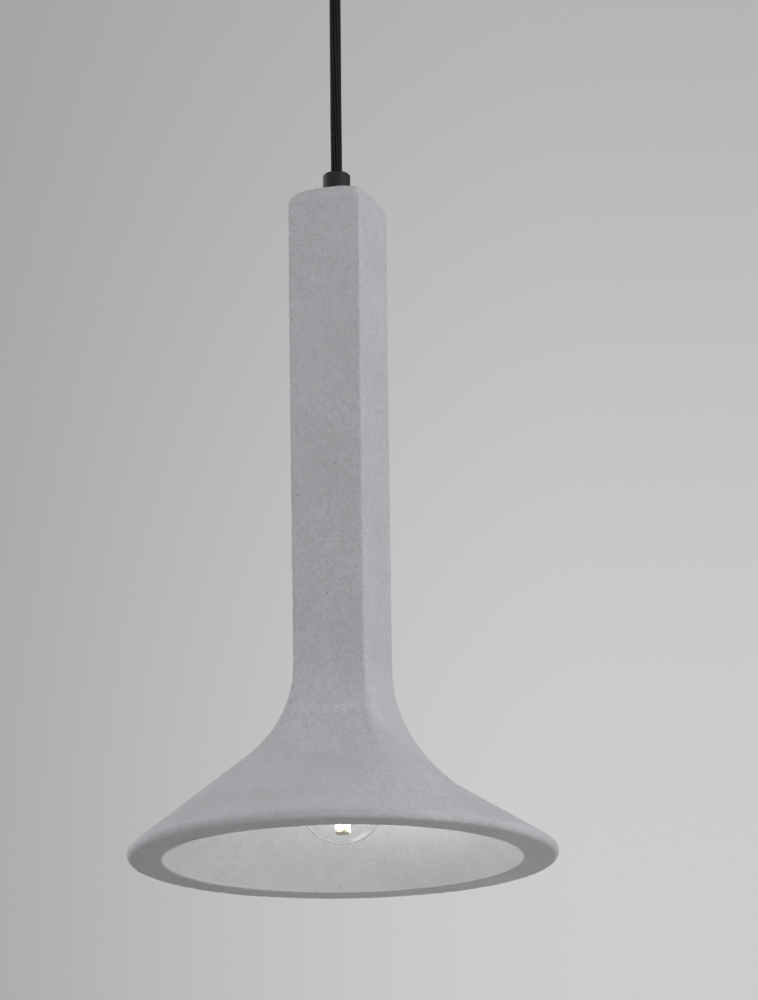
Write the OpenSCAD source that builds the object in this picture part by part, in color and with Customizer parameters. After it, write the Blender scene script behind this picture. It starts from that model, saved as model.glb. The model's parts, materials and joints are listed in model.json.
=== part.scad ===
// Pendant ceiling light: a cast concrete bell that grows out of a square stem, hung on a
// textile cord from a round canopy. Millimetres.
// The ceiling is the plane z = 0, and the lamp hangs below it along the Z axis.
// A height whose name starts with h_ is measured up from the plane of the bell's rim.

/* [Whole lamp] */
// Drop from the ceiling to the rim of the bell
drop = 540; // [520:5:700]

/* [Concrete shade] */
// Outer diameter of the bell at its rim
rim_d = 220; // [200:2:240]
// Width of the square stem across its flat faces
stem_w = 40.6; // [38:0.2:44]
// Height from the rim plane to the middle of the stem's top
shade_h = 359.5; // [340:0.5:380]
// Height at which the flare leaves the upright stem
flare_h = 102; // [98:1:110]
// Fillet radius of the flare below the middle of a stem face
face_arc_r = 76; // [70:1:80]
// Fillet radius of the flare below a stem edge
edge_arc_r = 64; // [58:1:70]
// Radius of the rounded outer edge of the rim
rim_nose_r = 3; // [2:0.5:4]
// Inner radius of the flat lip under the rim
lip_r = 92; // [88:0.2:95]
// Radius of the bore up the stem
bore_r = 14; // [13.5:0.5:14.5]
// Radius of the stem's upright edges
stem_edge_r = 1.2; // [0.6:0.2:2]

/* [Cord] */
// Diameter of the textile cord
cord_d = 6; // [5:0.5:6]
// Diameter of the cord grips at the canopy and on the stem
grip_d = 14.6; // [14:0.2:16]

/* [Canopy] */
// Outer diameter of the canopy
canopy_d = 110; // [110:1:125]
// Height of the canopy
canopy_h = 28; // [26:1:34]
// Wall thickness of the canopy
canopy_wall = 1; // [0.8:0.1:1.2]
// Distance between the two slots of the ceiling bracket
slot_spacing = 70; // [68:1:74]

/* [Bulb] */
// Height of the middle of the glass globe
h_globe = 31; // [30:0.5:32]
// Diameter of the glass globe
globe_d = 45; // [40:1:46]

/* [Hidden] */
$fn = 64;
eps = 0.5;            // overshoot of a cutting solid

// Shade
face_r = stem_w / 2;                                                   // axis to a stem face
edge_r = face_r * sqrt(2) - stem_edge_r * (sqrt(2) - 1);               // axis to a stem edge
corner_points = 12;   // outline points round each corner of a section
top_round_h = 10;     // height over which the stem's top edges round off
top_face_in = 5;      // how far the top moves in from each face
top_edge_in = 12.4;   // how far the top moves in from each edge
seat_r = 9;           // flat seat under the stem's grip
h_seat = shade_h - 0.7;
web_t = 16;           // concrete left between the bore and the seat
h_web = h_seat - web_t;
tube_hole_r = 5.3;
lip_chamfer = 0.6;
mouth_arc_r = 30;     // fillet from the bell's inside into the bore
h_mouth = 72;         // where that fillet meets the bore

// Suspension
tube_r = 5;           // M10 tube and threads, outside
tube_bore_r = 4;
thread_gap = 0.05;    // radial clearance drawn in a threaded joint
nut_w = 14;           // across the flats of an M10 nut
gasket_t = 0.8;
h_grip = h_seat + gasket_t;
grip_h = 12.4;
grip_thread_h = 8.4;  // depth of the threaded part of the stem grip
cord_r = cord_d / 2;
cord_gap = 0.35;      // radial clearance of the cord in its grips
grip_chamfer = 1;
clamp_screw_r = 1.5;
h_cord_end = h_grip + 5;

// Canopy, grip and bracket
canopy_r = canopy_d / 2;
canopy_edge_r = 3;
grip_hole_r = 5.2;
canopy_grip_h = 13;
stub_h = 12;          // threaded stub of the canopy grip above the canopy floor
z_grip = -canopy_h;
z_mouth = z_grip - canopy_grip_h;
z_swing = z_mouth + 3;                  // where the cord bends as the lamp swings
z_neck_end = z_swing - 8;
mouth_r = 5.6;        // flared mouth of the canopy grip
plate_t = 2;
bracket_w = 30;
bracket_l = canopy_d - 10;
tab_w = 14;
tab_h = 15;
tab_x = canopy_r - canopy_wall - 1;     // outer face of a bracket tab
side_screw_z = -9;
side_screw_r = 1.95;
slot_r = 2.5;
slot_l = 14;
supply_x = -10;       // hole for the house cable
supply_r = 8;

// Terminal block
block_x = 9;          // its lamp side
block_l = 18;
block_w = 28;
block_h = 14;
pole_pitch = 9;
pole_z = -9;
barrel_r = 2.5;
barrel_bore_r = 1.6;
barrel_l = 16;
screw_well_r = 2.2;
screw_offset = 4.5;   // terminal screws each side of the block's middle
block_mid = block_x + block_l / 2;
earth_at = [33, 10];

// Wires
wire_r = 1;
wire_sides = 8;
cord_sides = 10;

// Bulb and lamp holder
globe_r = globe_d / 2;
glass_t = 0.8;
h_skirt = 57;         // lower edge of the bulb's metal cap
h_thread = 60;
thread_pitch = 2.822;
thread_turns = 6;
thread_crest_r = 6.95;
thread_root_r = 6.45;
h_thread_end = h_thread + thread_pitch * thread_turns;
h_tip = h_thread_end + 4.5;             // top of the bulb's centre contact
holder_r = 12;
holder_wall = 1.5;
h_holder = 58.5;
h_holder_joint = 90;
h_holder_top = 106;
insert_bottom = 80;
insert_top = 88;
terminal_ring_r = 6;
filament_r = 0.9;
filament_l = 22;
filament_ring_r = 3.4;
h_filament = 14.6;     // lower ends of the filaments

// Routes. The cord hangs straight. Each wire's points run from its lower or inner end.
cord_route = [
    [0, 0, z_neck_end], [0, 0, -60], [0, 0, -75], [0, 0, -90], [0, 0, -105],
    [0, 0, -120], [0, 0, -135], [0, 0, -150], [0, 0, h_cord_end - drop]
];
live_upper_route = [
    [1, -1.6, -13.7], [1.2, -2.2, -11.5], [2.5, -4.5, -9.6], [5.5, -7.6, -9], [9, -9, -9], [12, -9, -9]
];
neutral_upper_route = [
    [1, 1.6, -13.7], [1.2, 2.2, -11.5], [2.5, 4.5, -9.6], [5.5, 7.6, -9], [9, 9, -9], [12, 9, -9]
];
earth_upper_route = [
    [-1.8, 0, -13.7], [-1.8, 0, -11], [-0.6, 0, -7.8], [3, 0, -7], [8, 0, -8.8], [12, 0, -9]
];
earth_link_route = [
    [24, 0, -9], [27, 0, -9], [29.6, 0.9, -8.4], [31.4, 2.6, -6.4], [32.4, 4.2, -4.6],
    [32.7, 5.2, -3.8], [32.9, 6.2, -3.62], [33, 7.8, -3.6]
];
// Heights above the rim plane, for a wire at angle 0: [distance from the axis, height]
lower_wire_route = [
    [6, 90.2], [6, 92.5], [5, 95.2], [3, 97.5], [2.1, 100], [2, 106], [2, 160], [2, 220], [2, 290],
    [2, 363]
];

// ---------- Outlines ----------

// Radius at height z of an outline that rounds a foot arc, climbs a straight cone and then
// bends along a hollow arc until it is upright. foot and bend are the arcs' centres [r, z].
function outline_r(z, foot, foot_arc, top_r, arc, top_z) =
    let (
        bend = [top_r + arc, top_z],
        way = bend - foot,
        lean = atan2(-way[0], way[1]) + asin((arc + foot_arc) / norm(way)),
        side = [cos(lean), sin(lean)],
        low = foot + foot_arc * side,
        high = bend - arc * side
    )
    z < low[1] ? foot[0] + sqrt(max(0, foot_arc * foot_arc - pow(z - foot[1], 2)))
    : z < high[1] ? low[0] + (high[0] - low[0]) * (z - low[1]) / (high[1] - low[1])
    : z < top_z ? bend[0] - sqrt(arc * arc - pow(top_z - z, 2))
    : top_r;

// Outer radius of the shade at height z, below a stem face or a stem edge.
function shade_r(z, stem_r, arc) =
    outline_r(z, [rim_d / 2 - rim_nose_r, rim_nose_r], rim_nose_r, stem_r, arc, flare_h);

// One ring of the shade: a square with rounded corners, a circle where both radii agree.
function section(face, edge, z) =
    let (c = (face * sqrt(2) - edge) / (sqrt(2) - 1))
    [
        for (q = [0:3])
        for (k = [0:corner_points - 1])
        let (a = 90 * (q + (k + 0.5) / corner_points), m = 90 * q + 45)
        [(face - c) * sqrt(2) * cos(m) + c * cos(a), (face - c) * sqrt(2) * sin(m) + c * sin(a), z]
    ];

// Radius of the inside of the bell at height z.
function inside_r(z) = outline_r(z, [lip_r, lip_chamfer], 0, bore_r, mouth_arc_r, h_mouth);

// Point of a smooth curve through route, at place t counted in points.
function curve_point(route, t) =
    let (
        n = len(route),
        i = min(floor(t), n - 2),
        u = t - i,
        b = route[i],
        c = route[i + 1],
        a = i > 0 ? route[i - 1] : 2 * b - c,
        d = i < n - 2 ? route[i + 2] : 2 * c - b,
        square_part = 2 * a - 5 * b + 4 * c - d,
        cube_part = 3 * b - a - 3 * c + d
    )
    b + 0.5 * ((c - a) * u + square_part * u * u + cube_part * u * u * u);

function smooth_route(route, steps) =
    [for (k = [0:(len(route) - 1) * steps]) curve_point(route, k / steps)];

function unit(v) = v / norm(v);

// ---------- Shared shapes ----------

// A closed stack of rings with equal numbers of points.
module loft(rings) {
    n = len(rings[0]);
    last = len(rings) - 1;
    sides = [
        for (j = [0:last - 1])
        for (i = [0:n - 1])
        let (a = j * n + i, b = j * n + (i + 1) % n)
        each [[a, a + n, b], [b, a + n, b + n]]
    ];
    floor_face = [for (i = [0:n - 1]) i];
    roof_face = [for (i = [n - 1:-1:0]) last * n + i];
    polyhedron([for (r = rings) each r], concat([floor_face], sides, [roof_face]), convexity = 6);
}

// A round tube along the points of a route that never runs along the direction beside.
module sweep(points, r, sides, beside) {
    last = len(points) - 1;
    rings = [
        for (i = [0:last])
        let (
            t = unit(points[min(i + 1, last)] - points[max(i - 1, 0)]),
            u = unit(cross(beside, t)),
            v = cross(t, u)
        )
        [for (k = [0:sides - 1]) points[i] + r * (cos(360 * k / sides) * u + sin(360 * k / sides) * v)]
    ];
    loft([for (i = [last:-1:0]) rings[i]]);
}

module tube(h, outer, inner) {
    difference() {
        cylinder(h = h, r = outer);
        translate([0, 0, -eps]) cylinder(h = h + 2 * eps, r = inner);
    }
}

module hex_nut(w, h, bore) {
    difference() {
        cylinder(h = h, r = w / sqrt(3), $fn = 6);
        translate([0, 0, -eps]) cylinder(h = h + 2 * eps, r = bore);
    }
}

// Puts a shape whose heights are above the rim plane into place.
module hung() {
    translate([0, 0, -drop]) children();
}

// A slotted screw head at the origin that faces down, with its shank standing up.
module screw_down(head_r, head_h, shank_r, shank_h) {
    difference() {
        translate([0, 0, -head_h]) cylinder(h = head_h, r = head_r);
        translate([-head_r - eps, -head_r / 8, -head_h - eps])
            cube([2 * head_r + 2 * eps, head_r / 4, head_h / 3 + eps]);
    }
    cylinder(h = shank_h, r = shank_r);
}

// ---------- Ceiling bracket and terminals ----------

module ceiling_bracket() {
    color("silver") difference() {
        union() {
            translate([-bracket_l / 2, -bracket_w / 2, -plate_t]) cube([bracket_l, bracket_w, plate_t]);
            translate([-tab_x, -tab_w / 2, -plate_t]) cube([2 * tab_x, tab_w, plate_t]);
            for (s = [0, 1]) mirror([s, 0, 0])
                translate([tab_x - plate_t, -tab_w / 2, -tab_h]) cube([plate_t, tab_w, tab_h]);
        }
        for (s = [-1, 1]) translate([s * slot_spacing / 2, 0, 0]) slot_cut();
        translate([supply_x, 0, -plate_t - eps]) cylinder(h = plate_t + 2 * eps, r = supply_r);
        translate([earth_at[0], earth_at[1], -plate_t - eps]) cylinder(h = plate_t + 2 * eps, r = 2);
        translate([block_mid, pole_pitch / 2, -plate_t - eps]) cylinder(h = plate_t + 2 * eps, r = 1.5);
        for (s = [0, 1]) mirror([s, 0, 0])
            translate([tab_x - plate_t - eps, 0, side_screw_z])
                rotate([0, 90, 0]) cylinder(h = plate_t + 2 * eps, r = 2);
    }
}

module slot_cut() {
    run = slot_l - 2 * slot_r;
    translate([0, 0, -plate_t - eps]) linear_extrude(plate_t + 2 * eps) {
        square([run, 2 * slot_r], center = true);
        for (s = [-1, 1]) translate([s * run / 2, 0]) circle(r = slot_r);
    }
}

module at_poles() {
    for (s = [-1:1]) translate([block_mid, s * pole_pitch, pole_z]) children();
}

module at_pole_screws() {
    at_poles() for (s = [-1, 1]) translate([s * screw_offset, 0, 0]) children();
}

module terminal_block() {
    color("white") difference() {
        translate([block_x, -block_w / 2, -plate_t - block_h]) cube([block_l, block_w, block_h]);
        at_poles() translate([-block_l / 2 - eps, 0, 0])
            rotate([0, 90, 0]) cylinder(h = block_l + 2 * eps, r = barrel_r + thread_gap);
        at_pole_screws() translate([0, 0, -block_h]) cylinder(h = block_h, r = screw_well_r);
        translate([block_mid, pole_pitch / 2, -plate_t - block_h - eps]) {
            cylinder(h = block_h + 2 * eps, r = 1.6);
            cylinder(h = 2.5 + eps, r = 2.2);
        }
        for (s = [-1, 1]) translate([block_mid, s * pole_pitch / 2, -plate_t - block_h + 1])
            cube([block_l + 2 * eps, 1, 2 + eps], center = true);
    }
}

module terminal_barrels() {
    color("gold") at_poles() difference() {
        translate([-barrel_l / 2, 0, 0]) rotate([0, 90, 0]) tube(barrel_l, barrel_r, barrel_bore_r);
        for (s = [-1, 1]) translate([s * screw_offset, 0, -barrel_r - eps])
            cylinder(h = barrel_r + eps, r = 1.25);
    }
}

module terminal_screws() {
    color("gold") at_pole_screws() translate([0, 0, -barrel_r - 0.1]) screw_down(1.9, 2.6, 1.2, 0.8);
}

module block_screw() {
    color("silver") translate([block_mid, pole_pitch / 2, -plate_t - block_h + 2.5])
        screw_down(2.1, 2, 1.45, block_h + plate_t - 2.5);
}

module earth_screw() {
    color("gold") translate([earth_at[0], earth_at[1], -plate_t - 2.4])
        screw_down(3.6, 2.4, 1.95, 4.2);
}

module earth_washer() {
    color("silver") translate([earth_at[0], earth_at[1], -plate_t - 0.8]) tube(0.8, 4.5, 2.1);
}

module earth_link() {
    color("green") sweep(smooth_route(earth_link_route, 2), 0.7, wire_sides, [-0.3, 0.4, 1]);
}

// ---------- Canopy and its cord grip ----------

module canopy() {
    r = canopy_r;
    e = canopy_edge_r;
    t = canopy_wall;
    color([0.06, 0.06, 0.07]) difference() {
        rotate_extrude($fn = 128) polygon(concat(
            [[grip_hole_r, -canopy_h]],
            [for (a = [-90:15:0]) [r - e + e * cos(a), -canopy_h + e + e * sin(a)]],
            [[r, 0], [r - t, 0]],
            [for (a = [0:-15:-90]) [r - e + (e - t) * cos(a), -canopy_h + e + (e - t) * sin(a)]],
            [[grip_hole_r, t - canopy_h]]
        ));
        translate([-r - eps, 0, side_screw_z]) rotate([0, 90, 0]) cylinder(h = 2 * r + 2 * eps, r = 2.2);
    }
}

module canopy_side_screws() {
    color([0.06, 0.06, 0.07]) for (s = [0, 1]) mirror([s, 0, 0])
        translate([canopy_r, 0, side_screw_z]) rotate([0, 90, 0]) {
            cylinder(h = 3, r = 4);
            translate([0, 0, -4.5]) cylinder(h = 4.5, r = side_screw_r);
        }
}

module canopy_grip() {
    bore = cord_r + cord_gap;
    color([0.06, 0.06, 0.07]) difference() {
        rotate_extrude() polygon([
            [bore, z_grip + stub_h], [bore, z_swing + 0.5], [mouth_r, z_mouth],
            [grip_d / 2 - grip_chamfer, z_mouth], [grip_d / 2, z_mouth + grip_chamfer],
            [grip_d / 2, z_grip], [tube_r, z_grip], [tube_r, z_grip + stub_h]
        ]);
        translate([0, 0, z_grip - 6.5]) rotate([-90, 0, 0])
            cylinder(h = grip_d, r = clamp_screw_r + thread_gap);
    }
}

module canopy_grip_washer() {
    color("silver") translate([0, 0, canopy_wall - canopy_h]) tube(1, 9, tube_r + 0.2);
}

module canopy_grip_nut() {
    color("silver") translate([0, 0, canopy_wall - canopy_h + 1])
        hex_nut(nut_w, 3.5, tube_r + thread_gap);
}

// A headless screw with a hexagon socket, at the back of a grip, pressing on the cord.
module clamp_screw() {
    tip = cord_r + 0.3;
    out = grip_d / 2 - 0.3;
    rotate([-90, 0, 0]) difference() {
        translate([0, 0, tip]) cylinder(h = out - tip, r = clamp_screw_r);
        translate([0, 0, out - 1.5]) cylinder(h = 2, r = 0.85, $fn = 6);
    }
}

module canopy_clamp_screw() {
    color("dimgray") translate([0, 0, z_grip - 6.5]) clamp_screw();
}

// ---------- Cord and upper wires ----------

module cord_tail() {
    color([0.1, 0.1, 0.1])
        sweep([[0, 0, z_swing], [0, 0, -26], [0, 0, -14]], cord_r, cord_sides, [1, 0, 0]);
}

module cord_neck() {
    color([0.1, 0.1, 0.1]) sweep([[0, 0, z_neck_end], [0, 0, z_swing]], cord_r, cord_sides, [1, 0, 0]);
}

module cord() {
    color([0.1, 0.1, 0.1]) sweep(cord_route, cord_r, cord_sides, [1, 0, 0]);
}

module live_wire_upper() {
    color("saddlebrown") sweep(smooth_route(live_upper_route, 3), wire_r, wire_sides, [0.5, 1, -0.6]);
}

module neutral_wire_upper() {
    color("royalblue") sweep(smooth_route(neutral_upper_route, 3), wire_r, wire_sides, [0.5, -1, -0.6]);
}

module earth_wire_upper() {
    color("green") sweep(smooth_route(earth_upper_route, 3), wire_r, wire_sides, [0, 1, 0]);
}

// ---------- Stem fittings ----------

module stem_grip() {
    bore = cord_r + cord_gap;
    top = h_grip + grip_h;
    color([0.06, 0.06, 0.07]) hung() difference() {
        rotate_extrude() polygon([
            [tube_r + thread_gap, h_grip], [grip_d / 2, h_grip], [grip_d / 2, top - grip_chamfer],
            [grip_d / 2 - grip_chamfer, top], [bore, top], [bore, h_grip + grip_thread_h],
            [tube_r + thread_gap, h_grip + grip_thread_h]
        ]);
        translate([0, 0, top - 2]) rotate([-90, 0, 0])
            cylinder(h = grip_d, r = clamp_screw_r - 0.15);
    }
}

module stem_clamp_screw() {
    tip = cord_r + 0.3;
    out = grip_d / 2 - 0.3;
    color("dimgray") hung() translate([0, 0, h_grip + grip_h - 2]) rotate([-90, 0, 0]) difference() {
        translate([0, 0, tip]) cylinder(h = out - tip, r = clamp_screw_r - 0.2);
        translate([0, 0, out - 1.5]) cylinder(h = 2, r = 0.75, $fn = 6);
    }
}

module stem_gasket() {
    color([0.15, 0.15, 0.15]) hung() translate([0, 0, h_seat])
        tube(gasket_t, seat_r - 0.5, tube_r + 0.1);
}

module suspension_tube() {
    foot = h_holder_top - 7;
    color("silver") hung() translate([0, 0, foot])
        tube(h_grip + grip_thread_h - foot - 0.2, tube_r, tube_bore_r);
}

module stem_washer() {
    color("silver") hung() translate([0, 0, h_web - 1.6]) tube(1.6, bore_r - 1.2, tube_r + 0.2);
}

module stem_nut() {
    color("silver") hung() translate([0, 0, h_web - 6.6]) hex_nut(nut_w, 5, tube_r + thread_gap);
}

// ---------- Concrete shade ----------

module concrete_shade() {
    nose = [for (a = [0:22.5:90]) rim_nose_r * (1 - cos(a))];
    flare = [for (z = [5:6:flare_h - 4]) z];
    body_rings = [
        for (z = concat(nose, flare, [flare_h]))
        section(shade_r(z, face_r, face_arc_r), shade_r(z, edge_r, edge_arc_r), z)
    ];
    top_rings = [
        for (a = [0:15:90])
        let (off = 1 - cos(a))
        section(face_r - top_face_in * off, edge_r - top_edge_in * off,
            shade_h - top_round_h * (1 - sin(a)))
    ];
    color([0.63, 0.63, 0.65]) hung() difference() {
        loft(concat(body_rings, top_rings));
        bell_inside();
        translate([0, 0, h_web - eps]) cylinder(h = web_t + 2 * eps, r = tube_hole_r);
        translate([0, 0, h_seat]) cylinder(h = 5, r = seat_r);
    }
}

module bell_inside() {
    bend = [for (z = [40:4:h_mouth]) z];
    wall = [for (z = concat([lip_chamfer, 20], bend)) [inside_r(z), z]];
    rotate_extrude($fn = 128) polygon(concat(
        [[0, -1], [lip_r + lip_chamfer + 1, -1]],
        wall,
        [[bore_r, h_web], [0, h_web]]
    ));
}

// ---------- Lamp holder ----------

module holder_locknut() {
    color("silver") hung() translate([0, 0, h_holder_top + 0.05]) hex_nut(nut_w, 3, tube_r + thread_gap);
}

module holder_cap() {
    boss_r = 7;
    inner = holder_r - holder_wall;
    color([0.08, 0.08, 0.08]) hung() rotate_extrude() polygon([
        [inner, h_holder_joint], [holder_r, h_holder_joint], [holder_r, h_holder_joint + 7],
        [boss_r, h_holder_top - 4], [boss_r, h_holder_top], [tube_r + thread_gap, h_holder_top],
        [tube_r + thread_gap, h_holder_top - 8], [inner, h_holder_joint + 6]
    ]);
}

module holder_shell() {
    inner = holder_r - holder_wall;
    spigot = inner - 0.1;
    color([0.08, 0.08, 0.08]) hung() rotate_extrude() polygon([
        [9, h_holder], [holder_r, h_holder], [holder_r, h_holder_joint], [spigot, h_holder_joint],
        [spigot, h_holder_joint + 4], [spigot - 1, h_holder_joint + 4], [spigot - 1, h_holder_joint],
        [inner, h_holder_joint - 1.6], [inner, h_holder + 1.5], [9, h_holder + 1.5]
    ]);
}

module holder_insert() {
    color("ivory") hung() difference() {
        translate([0, 0, insert_bottom])
            cylinder(h = insert_top - insert_bottom, r = holder_r - holder_wall - 0.2);
        translate([0, 0, insert_bottom - eps]) cylinder(h = 4 + eps, r = 4.5);
        at_holder_terminals() translate([0, 0, insert_top - 3]) cylinder(h = 3 + eps, r = 1.3);
    }
}

module at_holder_terminals() {
    for (a = [0, 120, 240]) rotate([0, 0, a]) translate([terminal_ring_r, 0, 0]) children();
}

module holder_screw_shell() {
    r = thread_crest_r + 0.1;
    t = 0.35;
    color("gold") hung() rotate_extrude() polygon([
        [r, h_thread + 1], [r + t, h_thread + 1], [r + t, insert_bottom - t], [9.5, insert_bottom - t],
        [9.5, insert_bottom], [r, insert_bottom]
    ]);
}

module holder_centre_contact() {
    color("gold") hung() translate([0, 0, h_tip + 0.1]) {
        translate([-3.5, -1.5, 0]) cube([7, 3, 0.4]);
        translate([-3.5, -1.5, 0]) cube([0.5, 3, insert_bottom + 4 - h_tip - 0.1]);
    }
}

module holder_terminal_screws() {
    color("gold") hung() at_holder_terminals() translate([0, 0, insert_top]) {
        cylinder(h = 2, r = 2);
        translate([0, 0, -2.8]) cylinder(h = 2.8, r = 1.2);
    }
}

// A wire down the suspension tube to its screw on the holder, turned by a degrees.
module lower_wire(a, paint) {
    route = [for (p = lower_wire_route) [p[0], 0, p[1]]];
    color(paint) hung() rotate([0, 0, a]) sweep(smooth_route(route, 2), wire_r, wire_sides, [0, 1, 0]);
}

module live_wire_lower() {
    lower_wire(0, "saddlebrown");
}

module neutral_wire_lower() {
    lower_wire(120, "royalblue");
}

module earth_wire_lower() {
    lower_wire(240, "green");
}

// ---------- Bulb ----------

// Half outline of the globe and its neck, shrunk inwards by inset.
function globe_outline(inset) =
    let (r = globe_r - inset, neck_r = 8.2 - inset, join = 52)
    concat(
        [[0, h_globe - r]],
        [for (a = [-78:12:join]) [r * cos(a), h_globe + r * sin(a)]],
        [[neck_r + 2, h_globe + globe_r * 0.98], [neck_r, h_skirt]]
    );

module bulb_globe() {
    color([0.8, 0.9, 1, 0.35]) hung() rotate_extrude($fn = 96) difference() {
        polygon(concat(globe_outline(0), [[8.2, h_skirt + 1], [0, h_skirt + 1]]));
        polygon(concat(
            globe_outline(glass_t),
            [[8.2 - glass_t, h_skirt + 1 + eps], [0, h_skirt + 1 + eps]]
        ));
    }
}

module bulb_cap() {
    t = 0.4;
    threads = [
        for (k = [0:thread_turns - 1])
        each [
            [thread_root_r, h_thread + thread_pitch * k],
            [thread_crest_r, h_thread + thread_pitch * (k + 0.35)],
            [thread_crest_r, h_thread + thread_pitch * (k + 0.65)]
        ]
    ];
    color("silver") hung() rotate_extrude() polygon(concat(
        [[8.3, h_skirt], [8.7, h_skirt], [8.7, h_skirt + 1.2]],
        threads,
        [[thread_root_r, h_thread_end], [thread_root_r - 0.7, h_thread_end + 0.7],
         [thread_root_r - 0.7, h_thread_end], [thread_root_r - t, h_thread_end - t],
         [thread_root_r - t, h_thread + t], [8.3, h_skirt + 1.2]]
    ));
}

module bulb_insulator() {
    top = h_thread_end + 3.2;
    color([0.05, 0.05, 0.05]) hung() rotate_extrude() polygon([
        [0, h_thread_end - 1], [thread_root_r - 0.75, h_thread_end - 1],
        [thread_root_r - 0.75, h_thread_end + 0.7], [3.5, top], [0, top]
    ]);
}

module bulb_contact() {
    color("silver") hung() translate([0, 0, h_thread_end + 3.2]) cylinder(h = 1.3, r1 = 2.6, r2 = 1.9);
}

module bulb_stem() {
    color([0.8, 0.9, 1, 0.5]) hung() rotate_extrude() polygon([
        [0, h_globe + 13], [2, h_globe + 13.5], [2.4, h_globe + 16], [2.4, h_globe + 20],
        [7.3, h_skirt], [7.3, h_skirt + 1], [0, h_skirt + 1]
    ]);
}

module at_filaments() {
    for (a = [45:90:315]) rotate([0, 0, a]) translate([filament_ring_r, 0, h_filament]) children();
}

module bulb_filaments() {
    color("gold") hung() at_filaments() cylinder(h = filament_l, r = filament_r);
}

module bulb_leads() {
    wire = 0.35;
    ring_h = h_filament + filament_l + 0.3;
    color("silver") hung() {
        translate([0, 0, h_filament - 2 * wire])
            cylinder(h = h_globe + 13 - h_filament + 2 * wire, r = wire);
        for (z = [h_filament - 2 * wire, ring_h - 0.3]) translate([0, 0, z])
            tube(2 * wire, filament_ring_r + wire, filament_ring_r - wire);
        for (a = [45, 135]) rotate([0, 0, a]) translate([-filament_ring_r, -wire, h_filament - 2 * wire])
            cube([2 * filament_ring_r, 2 * wire, 2 * wire]);
        for (a = [45:90:315]) rotate([0, 0, a])
            translate([1.2, -wire, ring_h - 0.3]) cube([filament_ring_r - 1.2, 2 * wire, 2 * wire]);
        for (a = [45:90:315]) rotate([0, 0, a])
            translate([1.2, -wire, ring_h - 0.3]) cube([2 * wire, 2 * wire, h_globe + 13.5 - ring_h]);
    }
}

ceiling_bracket();
terminal_block();
terminal_barrels();
terminal_screws();
block_screw();
earth_screw();
earth_washer();
earth_link();
canopy();
canopy_side_screws();
canopy_grip();
canopy_grip_washer();
canopy_grip_nut();
canopy_clamp_screw();
cord_tail();
live_wire_upper();
neutral_wire_upper();
earth_wire_upper();
cord_neck();
cord();
stem_grip();
stem_clamp_screw();
stem_gasket();
concrete_shade();
suspension_tube();
stem_washer();
stem_nut();
holder_locknut();
holder_cap();
holder_shell();
holder_insert();
holder_screw_shell();
holder_centre_contact();
holder_terminal_screws();
live_wire_lower();
neutral_wire_lower();
earth_wire_lower();
bulb_insulator();
bulb_contact();
bulb_globe();
bulb_cap();
bulb_stem();
bulb_filaments();
bulb_leads();
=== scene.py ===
"""Looks of a concrete pendant ceiling light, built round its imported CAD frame.

The row frame is in metres: the ceiling is z = 0 and the lamp hangs along -Z. Shapes that are
written in millimetres, with heights above the plane of the bell's rim as in the part's source,
are scaled by MM and shifted by RIM_Z at the end of their making.
"""

import json
import math

import bpy
import numpy as np
from mathutils import Matrix, Vector

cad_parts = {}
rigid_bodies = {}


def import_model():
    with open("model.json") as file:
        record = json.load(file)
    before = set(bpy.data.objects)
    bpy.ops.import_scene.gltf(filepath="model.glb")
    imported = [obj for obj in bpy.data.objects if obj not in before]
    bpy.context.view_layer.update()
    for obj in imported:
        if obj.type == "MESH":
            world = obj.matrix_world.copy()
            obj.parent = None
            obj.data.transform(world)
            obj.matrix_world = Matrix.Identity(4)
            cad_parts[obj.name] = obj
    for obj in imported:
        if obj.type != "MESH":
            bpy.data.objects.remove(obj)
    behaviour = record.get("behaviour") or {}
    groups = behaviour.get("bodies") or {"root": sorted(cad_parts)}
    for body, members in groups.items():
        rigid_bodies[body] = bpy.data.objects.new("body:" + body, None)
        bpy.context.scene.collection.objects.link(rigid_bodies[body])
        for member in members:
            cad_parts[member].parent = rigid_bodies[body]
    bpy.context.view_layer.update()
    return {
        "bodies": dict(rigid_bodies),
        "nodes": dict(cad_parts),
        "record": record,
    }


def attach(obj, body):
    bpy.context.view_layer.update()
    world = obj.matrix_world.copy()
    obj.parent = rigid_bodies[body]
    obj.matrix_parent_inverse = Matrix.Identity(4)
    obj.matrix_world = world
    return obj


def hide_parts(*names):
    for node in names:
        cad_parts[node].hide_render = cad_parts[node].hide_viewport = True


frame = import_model()

MM = 0.001
RIM_Z = -0.540            # plane of the bell's rim


def new_object(name, data):
    obj = bpy.data.objects.new(name, data)
    bpy.context.scene.collection.objects.link(obj)
    return obj


# ---------------------------------------------------------------- camera

EYE_AZIMUTH = math.radians(21.1)
EYE_DISTANCE = 1.992      # from the lamp's axis, level
EYE_BELOW_RIM = 0.383
EYE_YAW = math.radians(0.592)
EYE_PITCH = math.radians(16.069)
EYE_ROLL = math.radians(0.7)
LENS_MM, SENSOR_MM = 142.92, 36
NEAREST, FURTHEST = 0.05, 100


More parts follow.
